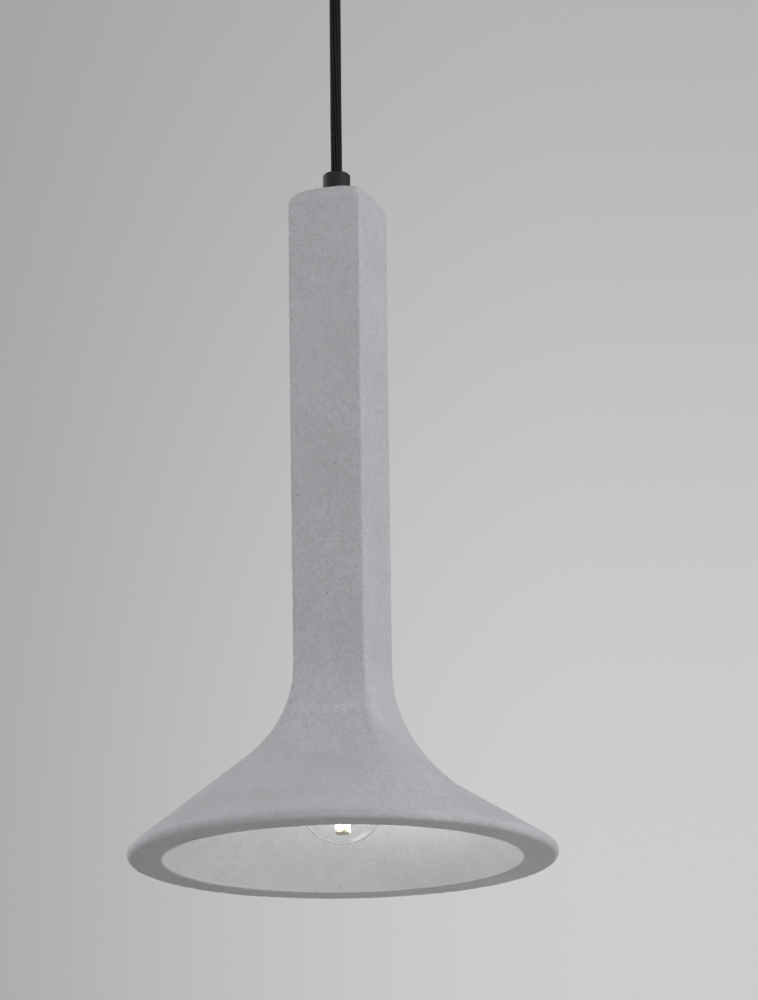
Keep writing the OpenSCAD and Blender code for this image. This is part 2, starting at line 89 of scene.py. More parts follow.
def make_camera():
    """The camera below and in front of the lamp. Returns its right, up and ahead directions."""
    sin, cos = math.sin, math.cos
    right = Vector((cos(EYE_AZIMUTH), sin(EYE_AZIMUTH), 0))
    ahead = Vector((-sin(EYE_AZIMUTH), cos(EYE_AZIMUTH), 0))
    up = Vector((0, 0, 1))
    eye = -EYE_DISTANCE * ahead + Vector((0, 0, RIM_Z - EYE_BELOW_RIM))
    right, ahead = (
        right * cos(EYE_YAW) - ahead * sin(EYE_YAW),
        right * sin(EYE_YAW) + ahead * cos(EYE_YAW),
    )
    ahead, up = (
        ahead * cos(EYE_PITCH) + up * sin(EYE_PITCH),
        up * cos(EYE_PITCH) - ahead * sin(EYE_PITCH),
    )
    right, up = (
        right * cos(EYE_ROLL) - up * sin(EYE_ROLL),
        right * sin(EYE_ROLL) + up * cos(EYE_ROLL),
    )
    data = bpy.data.cameras.new("camera")
    data.lens = LENS_MM
    data.sensor_width = SENSOR_MM
    data.clip_start, data.clip_end = NEAREST, FURTHEST
    camera = new_object("camera", data)
    turn = Matrix((right, up, -ahead)).transposed().to_4x4()
    camera.matrix_world = Matrix.Translation(eye) @ turn
    bpy.context.scene.camera = camera
    return right, up, ahead


VIEW_RIGHT, VIEW_UP, VIEW_AHEAD = make_camera()


# ---------------------------------------------------------------- material helpers

WHITE = (1.0, 1.0, 1.0)


def node_adder(tree):
    """A function that adds a shader node to the tree and sets its properties and inputs."""

    def add(kind, **values):
        node = tree.nodes.new("ShaderNode" + kind)
        for key, value in values.items():
            if hasattr(node, key):
                setattr(node, key, value)
            else:
                node.inputs[key.replace("_", " ").title()].default_value = value
        return node

    return add


def new_material(name):
    """A material with its node tree and Principled shader: (material, add, join, shader)."""
    mat = bpy.data.materials.new(name)
    mat.use_nodes = True
    tree = mat.node_tree
    return mat, node_adder(tree), tree.links.new, tree.nodes["Principled BSDF"]


def rgb(colour):
    return (*colour, 1.0)


def grain(add, join, coords, size, detail=3.0, rough=0.55, stretch=(1, 1, 1), bent=0.0):
    """Noise whose lumps are about size metres across. Above 0, bent winds them into worms."""
    place = add("Mapping", Scale=tuple(s / size for s in stretch))
    noise = add("TexNoise", Scale=1.0, Detail=detail, Roughness=rough, Distortion=bent)
    join(coords, place.inputs["Vector"])
    join(place.outputs["Vector"], noise.inputs["Vector"])
    return noise.outputs["Fac"]


def spread(add, join, value, low, high, to_low=0.0, to_high=1.0):
    """value stretched from low..high to to_low..to_high, and held at the ends."""
    node = add("MapRange", From_Min=low, From_Max=high, To_Min=to_low, To_Max=to_high)
    join(value, node.inputs["Value"])
    return node.outputs["Result"]


def blend_colour(add, join, factor, a, b, mode="MIX"):
    """Colour a where factor is 0 and b where it is 1. Each is a colour or a socket."""
    node = add("Mix", data_type="RGBA", blend_type=mode)
    for socket, value in ((0, factor), (6, a), (7, b)):
        if hasattr(value, "is_output"):
            join(value, node.inputs[socket])
        else:
            node.inputs[socket].default_value = value if socket == 0 else rgb(value)
    return node.outputs[2]


def multiply(add, join, tone, factor):
    return blend_colour(add, join, 1.0, tone, factor, "MULTIPLY")


def add_bump(add, join, shader, value, distance, below=None):
    """Relief of that height in metres on the shader, over the relief below it."""
    node = add("Bump", Distance=distance, Strength=1.0)
    join(value, node.inputs["Height"])
    if below is not None:
        join(below, node.inputs["Normal"])
    join(node.outputs["Normal"], shader.inputs["Normal"])
    return node.outputs["Normal"]


# ---------------------------------------------------------------- materials

CLOUD, BLOTCH, PATCH = 0.035, 0.007, 0.055     # sizes of the concrete's uneven tone
PINHOLE_CELL = 0.0026                          # one pinhole at most in a cell of this size
PINHOLE_SHADE_TONE, RIM_FRONT_SHADE_TONE = 0.74, 0.86        # how dark the painted shade in pinholes and on the front of the rim's nose is


def plain(name, dark, light, rough, size, bump, stretch=(1, 1, 1), **sockets):
    """A material of two near tones, with roughness and relief from noise of one size."""
    mat, add, join, shader = new_material(name)
    coords = add("TexCoord").outputs["Object"]
    broad = grain(add, join, coords, size * 8, stretch=stretch)
    close = grain(add, join, coords, size, detail=4.0, stretch=stretch)
    tiny = grain(add, join, coords, size * 0.25, detail=2.0, stretch=stretch)
    tone = spread(add, join, broad, 0.3, 0.7)
    join(blend_colour(add, join, tone, dark, light), shader.inputs["Base Color"])
    join(spread(add, join, close, 0.25, 0.75, *rough), shader.inputs["Roughness"])
    first = add_bump(add, join, shader, close, bump)
    add_bump(add, join, shader, tiny, bump * 0.4, first)
    for key, value in sockets.items():
        shader.inputs[key.replace("_", " ")].default_value = value
    return mat


def pinholes(add, join, coords, share):
    """0 in round pinholes, in that share of the cells, and 1 around them."""
    cells = add("TexVoronoi", Scale=1.0, Randomness=1.0)
    place = add("Mapping", Scale=(1 / PINHOLE_CELL,) * 3)
    join(coords, place.inputs["Vector"])
    join(place.outputs["Vector"], cells.inputs["Vector"])
    chance = add("SeparateColor")
    join(cells.outputs["Color"], chance.inputs["Color"])
    depth = spread(add, join, cells.outputs["Distance"], 0.08, 0.3)
    kept = spread(add, join, chance.outputs["Red"], share, share * 1.6)
    hole = add("Math", operation="MAXIMUM")
    join(depth, hole.inputs[0])
    join(kept, hole.inputs[1])
    return hole.outputs["Value"]


def concrete(name, dark, light, size, relief, speckle, cloud, holes):
    """Cast concrete: cloudy tone, sandy grain with light and dark grains, and pinholes.

    size is that of a sand grain and relief its height. speckle and cloud are how far the tone
    strays at the small and the middle scale. holes is the share of cells that hold a pinhole.
    """
    mat, add, join, shader = new_material(name)
    coords = add("TexCoord").outputs["Object"]
    clouds = grain(add, join, coords, CLOUD, detail=5.0, rough=0.6)
    blotch = grain(add, join, coords, BLOTCH, detail=4.0, rough=0.6)
    patch = grain(add, join, coords, PATCH, detail=2.0)
    sand = grain(add, join, coords, size, detail=2.0, rough=0.7)
    worms = grain(add, join, coords, size * 2.2, detail=3.0, rough=0.65, bent=1.2)

    tone = blend_colour(add, join, spread(add, join, clouds, 0.3, 0.7), dark, light)
    tone = multiply(add, join, tone, spread(add, join, blotch, 0.3, 0.7, 1 - cloud, 1 + cloud))
    specks = spread(add, join, sand, 0.34, 0.66, 1 - 0.5 * speckle, 1 + 0.5 * speckle)
    curls = spread(add, join, worms, 0.36, 0.64, 1 - speckle, 1 + speckle)
    sandy = multiply(add, join, specks, curls)
    rich = spread(add, join, patch, 0.35, 0.65, 0.55, 1.0)
    tone = multiply(add, join, tone, blend_colour(add, join, rich, WHITE, sandy))
    hole = pinholes(add, join, coords, holes)
    # pinholes are painted darker, as painted shade inside them
    tone = multiply(add, join, tone, spread(add, join, hole, 0.0, 1.0, PINHOLE_SHADE_TONE, 1.0))
    # painted shade on the front of the rim's nose, read from the mesh's attribute
    rim_front_shade = add("Attribute", attribute_name="rim_front_shade")
    rim_front_shaded = spread(add, join, rim_front_shade.outputs["Fac"], 0.0, 1.0, 1.0, RIM_FRONT_SHADE_TONE)
    join(multiply(add, join, tone, rim_front_shaded), shader.inputs["Base Color"])

    join(spread(add, join, worms, 0.3, 0.7, 0.82, 0.97), shader.inputs["Roughness"])
    shader.inputs["Specular IOR Level"].default_value = 0.3
    first = add_bump(add, join, shader, worms, relief * 1.9)
    second = add_bump(add, join, shader, sand, relief * 0.65, first)
    add_bump(add, join, shader, hole, relief * 1.2, second)
    return mat


def glass(name, tint, rough, lit):
    """Clear thin glass. Rays from lamps pass straight through it, and its edge glows by lit, as
    painted light.
    """
    mat, add, join, shader = new_material(name)
    coords = add("TexCoord").outputs["Object"]
    haze = grain(add, join, coords, 0.009, detail=2.0)
    shader.inputs["Base Color"].default_value = rgb(tint)
    shader.inputs["Transmission Weight"].default_value = 1.0
    shader.inputs["IOR"].default_value = 1.15
    join(spread(add, join, haze, 0.3, 0.7, 0.0, rough), shader.inputs["Roughness"])
    add_bump(add, join, shader, haze, 0.000004)
    # painted light: the glass glows towards its edge, for light caught in the glass
    edge = add("LayerWeight", Blend=0.25)
    painted_edge_glow = spread(add, join, edge.outputs["Facing"], 0.35, 0.95, 0.0, lit)
    join(painted_edge_glow, shader.inputs["Emission Strength"])
    shader.inputs["Emission Color"].default_value = rgb(WHITE)
    clear = add("BsdfTransparent")
    clear.inputs["Color"].default_value = (0.97, 0.97, 0.97, 1)
    path = add("LightPath")
    mix = add("MixShader")
    out = mat.node_tree.nodes["Material Output"]
    join(path.outputs["Is Shadow Ray"], mix.inputs["Fac"])
    join(shader.outputs["BSDF"], mix.inputs[1])
    join(clear.outputs["BSDF"], mix.inputs[2])
    join(mix.outputs["Shader"], out.inputs["Surface"])
    return mat


def glowing(name, dark, light, colour, strength):
    """Yellowish phosphor that shines by strength, and hardly at its low end."""
    mat, add, join, shader = new_material(name)
    coords = add("TexCoord").outputs["Object"]
    beads = grain(add, join, coords, 0.0012, detail=1.0)
    join(blend_colour(add, join, beads, dark, light), shader.inputs["Base Color"])
    join(spread(add, join, beads, 0.3, 0.7, 0.5, 0.7), shader.inputs["Roughness"])
    add_bump(add, join, shader, beads, 0.00005)
    shader.inputs["Emission Color"].default_value = rgb(colour)
    place = add("SeparateXYZ")
    join(add("TexCoord").outputs["Generated"], place.inputs["Vector"])
    shine = spread(add, join, place.outputs["Z"], 0.02, 0.45, 0.04 * strength, strength)
    join(shine, shader.inputs["Emission Strength"])
    return mat


def striped(name, base, stripe):
    """A cable sleeve whose stripe follows the mesh's own stripe attribute."""
    mat, add, join, shader = new_material(name)
    coords = add("TexCoord").outputs["Object"]
    mark = add("Attribute", attribute_name="stripe")
    close = grain(add, join, coords, 0.0008)
    factor = spread(add, join, mark.outputs["Fac"], 0.45, 0.55)
    join(blend_colour(add, join, factor, base, stripe), shader.inputs["Base Color"])
    join(spread(add, join, close, 0.3, 0.7, 0.3, 0.45), shader.inputs["Roughness"])
    add_bump(add, join, shader, close, 0.00003)
    return mat


def textile(name, dark, light):
    """Black yarn with painted shade in its grooves: fine fibres, a slight sheen and slight fading.
    """
    mat, add, join, shader = new_material(name)
    coords = add("TexCoord").outputs["Object"]
    fibres = grain(add, join, coords, 0.00035, detail=3.0, stretch=(1, 1, 0.45))
    faded = grain(add, join, coords, 0.012, detail=3.0)
    crown = add("Attribute", attribute_name="crown")
    # painted shade: the tone is darker in the grooves between the ribs
    groove_shade_mix = spread(add, join, crown.outputs["Fac"], 0.5, 1.0)
    tone = blend_colour(add, join, groove_shade_mix, dark, light)
    patch_level = spread(add, join, faded, 0.3, 0.7, 0.85, 1.15)
    join(multiply(add, join, tone, patch_level), shader.inputs["Base Color"])
    join(spread(add, join, fibres, 0.3, 0.7, 0.62, 0.85), shader.inputs["Roughness"])
    shader.inputs["Sheen Weight"].default_value = 0.06
    shader.inputs["Sheen Roughness"].default_value = 0.4
    shader.inputs["Specular IOR Level"].default_value = 0.12
    add_bump(add, join, shader, fibres, 0.00008)
    return mat


METAL = {"Metallic": 1.0}

# name: dark tone, light tone, range of roughness, size of the grain and its height, other sockets
PLAIN = {
    "black_metal": ((0.006, 0.006, 0.008), (0.01, 0.01, 0.0125), (0.56, 0.68), 0.0009, 0.00003,
                    {"Specular_IOR_Level": 0.4}),
    "black_steel": ((0.02, 0.02, 0.02), (0.05, 0.05, 0.05), (0.3, 0.45), 0.0005, 0.00002, METAL),
    "zinc_steel": ((0.5, 0.51, 0.53), (0.66, 0.67, 0.66), (0.28, 0.45), 0.0012, 0.00002,
                   {"stretch": (0.25, 1, 1), **METAL}),
    "brass": ((0.62, 0.43, 0.17), (0.78, 0.57, 0.26), (0.22, 0.38), 0.0009, 0.00002, METAL),
    "white_plastic": ((0.72, 0.71, 0.68), (0.82, 0.81, 0.78), (0.35, 0.5), 0.001, 0.00003, {}),
    "brown_sleeve": ((0.11, 0.04, 0.018), (0.17, 0.065, 0.028), (0.3, 0.45), 0.0008, 0.00003, {}),
    "blue_sleeve": ((0.02, 0.09, 0.42), (0.035, 0.13, 0.55), (0.3, 0.45), 0.0008, 0.00003, {}),
    "copper": ((0.7, 0.3, 0.16), (0.85, 0.42, 0.24), (0.25, 0.4), 0.0006, 0.00002,
               {"stretch": (1, 1, 0.3), **METAL}),
    "black_rubber": ((0.016, 0.016, 0.016), (0.026, 0.026, 0.026), (0.6, 0.8), 0.0006, 0.00004,
                     {}),
    "black_bakelite": ((0.014, 0.012, 0.011), (0.03, 0.027, 0.025), (0.25, 0.4), 0.001, 0.00003,
                       {}),
    "porcelain": ((0.72, 0.7, 0.63), (0.82, 0.8, 0.74), (0.12, 0.25), 0.0015, 0.00003,
                  {"Coat_Weight": 0.6}),
    "black_glass": ((0.008, 0.008, 0.01), (0.014, 0.013, 0.016), (0.1, 0.22), 0.001, 0.00003, {}),
    "solder": ((0.5, 0.5, 0.49), (0.66, 0.66, 0.64), (0.3, 0.5), 0.0007, 0.00005, METAL),
    "nickel": ((0.58, 0.57, 0.54), (0.7, 0.69, 0.65), (0.16, 0.3), 0.0012, 0.00002, METAL),
}

MATERIALS = {
    "concrete": concrete("concrete", (0.468, 0.461, 0.486), (0.516, 0.508, 0.536),
                         0.0008, 0.0002, 0.11, 0.03, 0.02),
    # The bell's inside is a lighter copy of the concrete, painted light for the bulb's glow inside
    # the bell.
    "concrete_inside": concrete("concrete_inside", (0.695, 0.7, 0.71), (0.745, 0.75, 0.76),
                                0.0008, 0.0001, 0.06, 0.03, 0.012),
    "earth_sleeve": striped("earth_sleeve", (0.04, 0.26, 0.05), (0.8, 0.62, 0.03)),
    "clear_glass": glass("clear_glass", (0.99, 0.995, 0.995), 0.04, 0.11),
    "filament": glowing("filament", (0.9, 0.75, 0.45), (1.0, 0.88, 0.62), (1.0, 0.97, 0.93), 5.0),
    # the cord's dark tone is painted shade in its grooves
    "black_cord": textile("black_cord", (0.001, 0.001, 0.001), (0.03, 0.03, 0.031)),
}
for slot, (*values, others) in PLAIN.items():
    MATERIALS[slot] = plain(slot, *values, **others)

for part in frame["record"]["subparts"]:
    node = frame["nodes"][part["node"]]
    node.data.materials.clear()
    node.data.materials.append(MATERIALS[part["material_slot"]])


# ---------------------------------------------------------------- mesh helpers

def signed_volume(mesh):
    """Below 0 where the mesh's faces look inwards."""
    co = np.empty(len(mesh.vertices) * 3)
    mesh.vertices.foreach_get("co", co)
    co = co.reshape(-1, 3)
    mesh.calc_loop_triangles()
    tri = np.empty(len(mesh.loop_triangles) * 3, int)
    mesh.loop_triangles.foreach_get("vertices", tri)
    p = co[tri.reshape(-1, 3)]
    return np.einsum("ij,ij->i", p[:, 0], np.cross(p[:, 1], p[:, 2])).sum() / 6


def grid_mesh(name, points, materials, close_rings=False, caps=False, regions=None, marks=None):
    """A mesh object from rings of points, shape (rings, around, 3), each ring closed.

    close_rings joins the last ring to the first, and caps closes both ends with fans. regions
    gives each ring's material number, and marks is (name, one number per point).
    """
    rings, around = points.shape[:2]
    verts = points.reshape(-1, 3)
    a = np.arange(rings if close_rings else rings - 1)[:, None] * around
    b = (a + around) % (rings * around)
    i = np.arange(around)[None, :]
    j = (i + 1) % around
    faces = np.stack([a + i, a + j, b + j, b + i], axis=-1).reshape(-1, 4).tolist()
    numbers = [0] * len(faces)
    if regions is not None:
        numbers = np.repeat(np.asarray(regions)[: len(a)], around).tolist()
    middles = []
    for end in (0, rings - 1) if caps else ():
        middle = len(verts) + len(middles)
        middles.append(points[end].mean(axis=0))
        start = end * around
        for k in range(around):
            m = (k + 1) % around
            pair = (start + m, start + k) if end == 0 else (start + k, start + m)
            faces.append([middle, *pair])
            numbers.append(numbers[0] if end == 0 else numbers[-1])
    if middles:
        verts = np.vstack([verts, middles])
    mesh = bpy.data.meshes.new(name)
    mesh.from_pydata(verts.tolist(), [], faces)
    for slot in materials:
        mesh.materials.append(MATERIALS[slot])
    mesh.polygons.foreach_set("material_index", numbers)
    mesh.update()
    if signed_volume(mesh) < 0:
        mesh.flip_normals()
    mesh.polygons.foreach_set("use_smooth", [True] * len(mesh.polygons))
    if marks is not None:
        layer = mesh.attributes.new(marks[0], "FLOAT", "POINT")
        values = np.append(np.asarray(marks[1], float).ravel(), [0.5] * len(middles))
        layer.data.foreach_set("value", values)
    return new_object(name, mesh)


def angles(around):
    return np.linspace(0, math.tau, around, endpoint=False)


def ramp(value, low, high):
    """0 up to low, 1 from high on, and straight between them. low may be the larger."""
    return np.clip((value - low) / (high - low), 0, 1)


def lengths_along(line):
    return np.concatenate([[0], np.cumsum(np.linalg.norm(np.diff(line, axis=0), axis=1))])


def curve_points(route, steps):
    """A smooth line through route, with steps points from each of its points to the next."""
    route = np.asarray(route, float)
    ends = np.vstack([2 * route[0] - route[1], route, 2 * route[-1] - route[-2]])
    out = []
    for i in range(len(route) - 1):
        a, b, c, d = ends[i : i + 4]
        u = np.linspace(0, 1, steps, endpoint=False)[:, None]
        square, cube = 2 * a - 5 * b + 4 * c - d, 3 * b - a - 3 * c + d
        out.append(b + 0.5 * ((c - a) * u + square * u**2 + cube * u**3))
    return np.vstack([*out, route[-1:]])


def frames_along(line):
    """Two unit vectors across the line at each of its points, which never twist."""
    ahead = np.gradient(line, axis=0)
    ahead /= np.linalg.norm(ahead, axis=1)[:, None]
    across = np.cross(ahead[0], [0.31, 0.87, 0.38])     # any direction that no line here has
    sides = []
    for t in ahead:
        across = across - t * np.dot(across, t)
        across = across / np.linalg.norm(across)
        sides.append((across, np.cross(t, across)))
    return np.array(sides)


def tube(line, radius, around):
    """Rings of points round the line. radius is a number or an array (points, around)."""
    angle = angles(around)
    ring = np.stack([np.cos(angle), np.sin(angle)])
    offset = np.einsum("pkc,ka->pac", frames_along(line), ring)
    radius = np.broadcast_to(radius, (len(line), around))
    return line[:, None, :] + offset * radius[:, :, None]


def scatter(cells, seed):
    """A steady number from 0 to 1 for each whole-number cell, by mixing bits."""
    n = cells[..., 0] * 73856093 ^ cells[..., 1] * 19349663 ^ cells[..., 2] * 83492791
    n = (n + seed * 2654435761) & 0xFFFFFFFF
    n = ((n ^ (n >> 15)) * 2246822519) & 0xFFFFFFFF
    n = ((n ^ (n >> 13)) * 3266489917) & 0xFFFFFFFF
    return ((n ^ (n >> 16)) & 0xFFFFFF) / 0xFFFFFF


def lumps(points, size, seed):
    """Smooth noise from -1 to 1 in space, with lumps about size across."""
    p = points / size
    base = np.floor(p).astype(np.int64)
    f = p - base
    f = f * f * (3 - 2 * f)
    total = np.zeros(p.shape[:-1])
    for corner in range(8):
        step = np.array([corner & 1, corner >> 1 & 1, corner >> 2])
        weight = np.prod(np.where(step == 1, f, 1 - f), axis=-1)
        total += weight * scatter(base + step, seed)
    return total * 2 - 1


def pits(points, size, share, seed):
    """Depth from 0 to 1 of round pits, one in some cells of that size."""
    p = points / size
    base = np.floor(p).astype(np.int64)
    deep = np.zeros(p.shape[:-1])
    for n in range(27):
        cell = base + np.array([n % 3 - 1, n // 3 % 3 - 1, n // 9 - 1])
        spot = cell + 0.2 + 0.6 * np.stack([scatter(cell, seed + k) for k in range(3)], axis=-1)
        radius = 0.16 + 0.24 * scatter(cell, seed + 3)
        away = np.linalg.norm(p - spot, axis=-1) / radius
        here = np.clip(1 - away**2, 0, 1) * (scatter(cell, seed + 4) < share)
        deep = np.maximum(deep, here)
    return deep


# ---------------------------------------------------------------- concrete shade

AROUND = 288                               # points round the shade
OUTSIDE, INSIDE, HIDDEN = 0, 1, 2          # kinds of row in its outline
RIM_R, NOSE_R, LIP_R, LIP_CHAMFER = 110.0, 3.0, 92.0, 0.6
STEM_FACE, EDGE_R_TOP, EDGE_R_LOW = 20.5, 1.2, 2.4
FLARE_H, FACE_ARC, EDGE_ARC = 102.0, 76.0, 64.0
TOP_H, TOP_ROUND_H, TOP_FACE_IN, TOP_EDGE_IN = 359.5, 10.0, 5.0, 12.4
SEAT_R, SEAT_H, WEB_H, HOLE_R = 9.0, 358.8, 342.8, 5.3
BORE_R, CONE_H, MOUTH_H, MOUTH_ARC = 14.0, 46.0, 72.0, 30.0

TWIST = math.radians(1.2)                  # of the stem's low end against its top
LEAN = 0.34                                # sideways at the stem's top, and 3 times that lower down
FLARE_FADE, STEM_SPAN = (12, 52), (250, 70)     # heights where they set in, from none to all
CORNER_IN, CORNER_H = 1.1, 12              # how far one corner of the top is cut in, and how high
CORNER_SPAN = (9, 27)                      # from the axis, along that corner's diagonal

# size, height and seed of the lumps in the cast surface
WAVES = ((46.0, 0.16, 1), (13.0, 0.07, 2))
SAND = ((2.3, 0.075, 3), (1.1, 0.035, 4))
PIT_CELL, PIT_SHARE, PIT_DEPTH, PIT_SEED = 4.4, 0.07, 0.3, 5
EDGE_CHIPS, NOSE_CHIPS = 0.5, 0.24         # deepest chips at the stem's edges and the rim's nose
# The same patch at the front of the rim is painted darker, as painted shade on its nose.
RIM_PATCH_IN = 0.3                              # how far a patch at the front of the rim is dented in
RIM_PATCH_H, RIM_PATCH_HALF_H, RIM_PATCH_SAG = 3.6, 2.2, 6.0   # its height, and how far it fades up and round
SINK = 0.05                                # of the whole surface, to make room for its relief


def outline_r(z, foot, foot_arc, top_r, arc, top_z):
    """Radius at height z of a foot arc, a straight cone and a hollow arc that ends upright."""
    bend = (top_r + arc, top_z)
    way = (bend[0] - foot[0], bend[1] - foot[1])
    lean = math.atan2(-way[0], way[1]) + math.asin((arc + foot_arc) / math.hypot(*way))
    side = (math.cos(lean), math.sin(lean))
    low = (foot[0] + foot_arc * side[0], foot[1] + foot_arc * side[1])
    high = (bend[0] - arc * side[0], bend[1] - arc * side[1])
    if z < low[1]:
        return foot[0] + math.sqrt(max(0, foot_arc**2 - (z - foot[1]) ** 2))
    if z < high[1]:
        return low[0] + (high[0] - low[0]) * (z - low[1]) / (high[1] - low[1])
    return bend[0] - math.sqrt(arc**2 - (top_z - z) ** 2) if z < top_z else top_r


def stem_edge(edge_radius):
    """From the axis to a stem edge rounded by edge_radius."""
    return STEM_FACE * math.sqrt(2) - edge_radius * (math.sqrt(2) - 1)


def stem_rows():
    """Rows from the hole for the tube over the top and down the stem."""
    top_edge, low_edge = stem_edge(EDGE_R_TOP), stem_edge(EDGE_R_LOW)
    rows = [(HOLE_R, HOLE_R, z, HIDDEN) for z in np.linspace(WEB_H, SEAT_H, 4)]
    rows += [(r, r, SEAT_H, HIDDEN) for r in (7.0, SEAT_R - 0.05)]
    rows += [(SEAT_R, SEAT_R, z, OUTSIDE) for z in (SEAT_H + 0.1, TOP_H - 0.25)]
    face_in, edge_in = STEM_FACE - TOP_FACE_IN, top_edge - TOP_EDGE_IN
    for t in np.linspace(0.03, 1, 6):
        face = SEAT_R + (face_in - SEAT_R) * t
        edge = SEAT_R + (edge_in - SEAT_R) * t
        rows.append((face, edge, TOP_H, OUTSIDE))
    for a in np.radians(np.linspace(90, 0, 16)[1:]):
        off = 1 - math.cos(a)
        z = TOP_H - TOP_ROUND_H * (1 - math.sin(a))
        rows.append((STEM_FACE - TOP_FACE_IN * off, top_edge - TOP_EDGE_IN * off, z, OUTSIDE))
    for t in np.linspace(0, 1, 150)[1:]:
        z = TOP_H - TOP_ROUND_H + (FLARE_H - TOP_H + TOP_ROUND_H) * t
        rows.append((STEM_FACE, top_edge + (low_edge - top_edge) * t, z, OUTSIDE))
    return rows


def flare_rows():
    """Rows down the flare and round the nose of the rim."""
    foot, low_edge = (RIM_R - NOSE_R, NOSE_R), stem_edge(EDGE_R_LOW)
    heights = list(FLARE_H - (FLARE_H - 4.6) * np.linspace(0, 1, 76)[1:] ** 1.12)
    heights += [NOSE_R * (1 - math.cos(a)) for a in np.radians(np.linspace(118, 0, 10))]
    return [(outline_r(z, foot, NOSE_R, STEM_FACE, FACE_ARC, FLARE_H),
             outline_r(z, foot, NOSE_R, low_edge, EDGE_ARC, FLARE_H), z, OUTSIDE)
            for z in heights]


def inside_rows():
    """Rows over the lip, up the bell's inside and the bore, and in to the tube's hole."""
    lip = np.linspace(RIM_R - NOSE_R, LIP_R + LIP_CHAMFER, 9)[1:]
    rows = [(r, r, 0.0, OUTSIDE) for r in lip]
    heights = list(np.linspace(LIP_CHAMFER, CONE_H, 28))
    heights += list(np.linspace(CONE_H, MOUTH_H, 13)[1:])
    for z in heights:
        r = outline_r(z, (LIP_R, LIP_CHAMFER), 0, BORE_R, MOUTH_ARC, MOUTH_H)
        rows.append((r, r, z, INSIDE))
    rows += [(BORE_R, BORE_R, z, HIDDEN) for z in (90, 130, 200, 270, WEB_H)]
    return [*rows, (SEAT_R, SEAT_R, WEB_H, HIDDEN)]


def section(face, edge, z):
    """One ring of the shade: a square with rounded corners, with more points where it bends."""
    c = (face * math.sqrt(2) - edge) / (math.sqrt(2) - 1)
    flat = max(face - c, 0.0)
    bend = c * math.pi / 2 + (3.0 if flat > 0 else 0.0)
    share = bend / (bend + 2 * flat)
    u = np.arange(AROUND // 4) / (AROUND // 4)
    start = (1 - share) / 2
    angle = np.clip((u - start) / share, 0, 1) * math.pi / 2
    before, after = flat, 0.0
    if start > 1e-6:
        before = flat * np.clip(u / start, 0, 1)
        after = flat * np.clip((u - 1 + start) / start, 0, 1)
    x = flat + c * np.cos(angle) - after
    y = before + c * np.sin(angle)
    ring = []
    for quarter in range(4):
        s, k = math.sin(quarter * math.pi / 2), math.cos(quarter * math.pi / 2)
        ring.append(np.stack([k * x - s * y, s * x + k * y, np.full_like(x, z)], axis=-1))
    return np.vstack(ring)


def surface_normals(points):
    along = np.roll(points, -1, axis=0) - np.roll(points, 1, axis=0)
    about = np.roll(points, -1, axis=1) - np.roll(points, 1, axis=1)
    normal = np.cross(about, along)
    normal /= np.maximum(np.linalg.norm(normal, axis=-1, keepdims=True), 1e-9)
    on_stem = len(points) // 3
    return -normal if normal[on_stem, 0, 0] < 0 else normal


def relief(points, reach, kinds):
    """How far the cast surface stands out: slow waves, sand, pits, and chips at its edges."""
    z = points[..., 2]
    wave, sand = (sum(height * lumps(points, size, seed) for size, height, seed in layers)
                  for layers in (WAVES, SAND))
    holes = PIT_DEPTH * pits(points, PIT_CELL, PIT_SHARE, PIT_SEED)
    corner = np.clip((reach / np.abs(points[..., :2]).max(axis=-1) - 1.22) / 0.14, 0, 1)
    corner *= ramp(z, 60, 120)
    nose = ramp(z, 9, 3)
    chips = np.clip(lumps(points, 2.4, seed=6) - 0.15, 0, 1)
    chips = chips + 0.6 * np.clip(lumps(points, 5.5, seed=7) - 0.35, 0, 1)
    outer = wave + sand - holes - (EDGE_CHIPS * corner + NOSE_CHIPS * nose) * chips
    inner = 0.5 * wave + 0.25 * sand - 0.2 * holes
    return np.where(kinds == OUTSIDE, outer, np.where(kinds == INSIDE, inner, 0.0))


def rim_front_patch(points, reach, kinds):
    """From 0 to 1, a patch at the front of the rim's nose, dented in and with painted shade."""
    front = points[..., :2] @ np.array(VIEW_AHEAD)[:2] / -math.hypot(*VIEW_AHEAD[:2])
    off = (points[..., 2] - RIM_PATCH_H) / RIM_PATCH_HALF_H
    patch_level = np.exp(-((reach - front) / RIM_PATCH_SAG) ** 2 - off**2)
    return np.where(kinds == OUTSIDE, patch_level, 0.0)


def hand_set(points):
    """The stem's outside with the mould's slight twist and lean, which fade out in the flare.

    The top's corner between +X and -Y is rounder than the others.
    """
    x, y, z = points[..., 0], points[..., 1], points[..., 2]
    fade = ramp(z, *FLARE_FADE)
    down = ramp(z, *STEM_SPAN) * fade
    turn = TWIST * down
    x, y = x * np.cos(turn) - y * np.sin(turn), x * np.sin(turn) + y * np.cos(turn)
    near = ramp((x - y) / math.sqrt(2), *CORNER_SPAN) * ramp(z, TOP_H - CORNER_H, TOP_H) ** 2
    x, y = x - CORNER_IN * near, y + CORNER_IN * near
    lean = LEAN * (fade + 2 * down)
    return np.stack([x + lean * VIEW_RIGHT[0], y + lean * VIEW_RIGHT[1], z], axis=-1)


